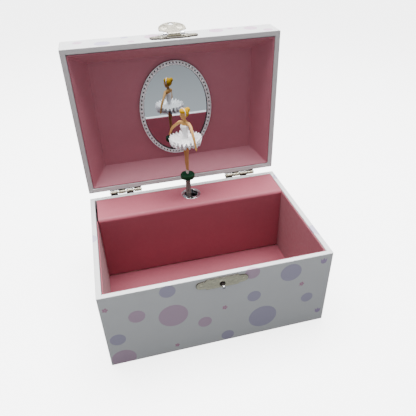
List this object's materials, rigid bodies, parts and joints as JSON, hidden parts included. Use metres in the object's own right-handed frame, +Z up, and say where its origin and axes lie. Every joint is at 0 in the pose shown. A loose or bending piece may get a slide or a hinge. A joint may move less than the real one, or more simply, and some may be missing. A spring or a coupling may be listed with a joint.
{
  "type": "musical jewellery box",
  "caption": "Open musical jewellery box with a hinged mirrored lid, a dancer on a spring, a lined compartment, a latch and a wound music movement under a bench.",
  "frame": {"origin": "centre of the base casing's underside, at the height of the surface that the box stands on", "axes": "+X to the box's right seen from the front, +Y to the back where the hinges and key are, +Z up"},
  "size_m": [0.152, 0.1381, 0.1834],
  "materials": {
    "printed_paper": "white paper wrap printed with pink and lilac dots, semi-gloss",
    "bare_board": "bare pressed board",
    "pink_card": "dusty pink paper-faced card, fine matte grain",
    "chrome": "bright nickel or chrome plate",
    "latch_metal": "pale champagne plated stamping with a raised border",
    "hinge_metal": "thin plated hinge strip",
    "movement_zinc": "cast zinc",
    "movement_steel": "ground steel",
    "movement_brass": "turned brass",
    "spring_steel": "dark oiled spring steel",
    "governor_plastic": "moulded nylon",
    "green_plastic": "dark green moulded plastic",
    "skin_plastic": "tan moulded plastic, painted hair, bodice and shoes",
    "white_tulle": "white gathered tulle",
    "silver_plastic": "silver-coated moulding with a row of beads",
    "mirror_glass": "thin mirror glass"
  },
  "bodies": {
    "base": {"base_front_board": "printed_paper", "base_back_board": "printed_paper", "base_left_board": "printed_paper", "base_right_board": "printed_paper", "base_floor_board": "bare_board", "compartment_spacer": "bare_board", "compartment_lining": "pink_card", "bench_cover": "pink_card", "bench_grommet": "chrome", "left_hinge_base_leaf": "hinge_metal", "right_hinge_base_leaf": "hinge_metal", "left_hinge_pin": "chrome", "right_hinge_pin": "chrome", "latch_base_plate": "latch_metal", "latch_post": "chrome", "latch_base_nail_left": "latch_metal", "latch_base_nail_right": "latch_metal", "movement_bedplate": "movement_zinc", "lower_bearing_bridge": "movement_zinc", "upper_bearing_bridge": "movement_zinc", "music_comb": "movement_steel", "comb_screw_lower": "movement_steel", "comb_screw_upper": "movement_steel", "movement_screw_left": "chrome", "movement_screw_right": "chrome"},
    "lid": {"lid_front_board": "printed_paper", "lid_back_board": "printed_paper", "lid_left_board": "printed_paper", "lid_right_board": "printed_paper", "lid_top_board": "printed_paper", "lid_lining": "pink_card", "mirror_frame": "silver_plastic", "mirror_glass": "mirror_glass", "left_hinge_lid_leaf": "hinge_metal", "right_hinge_lid_leaf": "hinge_metal", "latch_lid_plate": "latch_metal", "hasp_pin": "chrome", "latch_lid_nail_left": "latch_metal", "latch_lid_nail_right": "latch_metal"},
    "hasp": {"hasp": "latch_metal"},
    "winding_key": {"winding_key": "chrome", "winding_arbor": "movement_steel"},
    "barrel": {"spring_barrel": "movement_brass", "mainspring": "spring_steel"},
    "cylinder": {"music_cylinder": "movement_brass", "cylinder_pinion": "movement_brass", "cylinder_gear": "movement_brass", "dancer_shaft": "movement_steel"},
    "second_arbor": {"second_arbor": "movement_steel", "worm_wheel": "movement_brass"},
    "governor": {"governor_worm": "movement_steel", "governor_fly": "governor_plastic"},
    "stop_wire": {"stop_wire": "movement_steel"},
    "dancer_spring": {"dancer_spring": "spring_steel"},
    "dancer": {"dancer_disc": "green_plastic", "dancer_legs": "skin_plastic", "dancer_tutu": "white_tulle", "dancer_body": "skin_plastic"}
  },
  "joints": [
    {"name": "lid_hinge", "type": "hinge", "parent": "base", "child": "lid", "pos_m": [0, 0.0575, 0.0636], "axis": [1, 0, 0], "range_deg": [0, 90]},
    {"name": "hasp_hinge", "type": "hinge", "parent": "lid", "child": "hasp", "pos_m": [0.0006, 0.0628, 0.1784], "axis": [1, 0, 0], "range_deg": [-16, 161]},
    {"name": "stop_slide", "type": "slide", "parent": "base", "child": "stop_wire", "axis": [0, 0, 1], "range_m": [-0.0023, 0]},
    {"name": "dancer_fold", "type": "hinge", "parent": "base", "child": "dancer_spring", "pos_m": [0, 0.0395, 0.0715], "axis": [1, 0, 0], "range_deg": [0, 107.5], "deforming": ["dancer_spring"]},
    {"name": "dancer_spin", "type": "hinge", "parent": "dancer_spring", "child": "dancer", "pos_m": [0, 0.0395, 0.0786], "axis": [0, 0, 1], "continuous": true},
    {"name": "winding", "type": "hinge", "parent": "base", "child": "winding_key", "pos_m": [0, 0.055, 0.0205], "axis": [0, 1, 0], "continuous": true},
    {"name": "cylinder_spin", "type": "hinge", "parent": "base", "child": "cylinder", "pos_m": [0, 0.0395, 0.033], "axis": [0, 0, 1], "continuous": true},
    {"name": "barrel_spin", "type": "hinge", "parent": "base", "child": "barrel", "pos_m": [0, 0.0431, 0.0205], "axis": [0, 1, 0], "continuous": true},
    {"name": "second_spin", "type": "hinge", "parent": "base", "child": "second_arbor", "pos_m": [-0.009, 0.0395, 0.0525], "axis": [0, 0, 1], "continuous": true},
    {"name": "governor_spin", "type": "hinge", "parent": "base", "child": "governor", "pos_m": [-0.0166, 0.0395, 0.0525], "axis": [0, 1, 0], "continuous": true}
  ],
  "couplings": [
    {"joint": "stop_slide", "follows": "lid_hinge", "m_per_rad": -0.0014},
    {"joint": "dancer_fold", "follows": "lid_hinge", "ratio": 1.1889},
    {"joint": "dancer_spin", "follows": "cylinder_spin", "ratio": 1},
    {"joint": "barrel_spin", "follows": "cylinder_spin", "ratio": -0.3},
    {"joint": "second_spin", "follows": "cylinder_spin", "ratio": -3.5},
    {"joint": "governor_spin", "follows": "cylinder_spin", "ratio": -42}
  ]
}
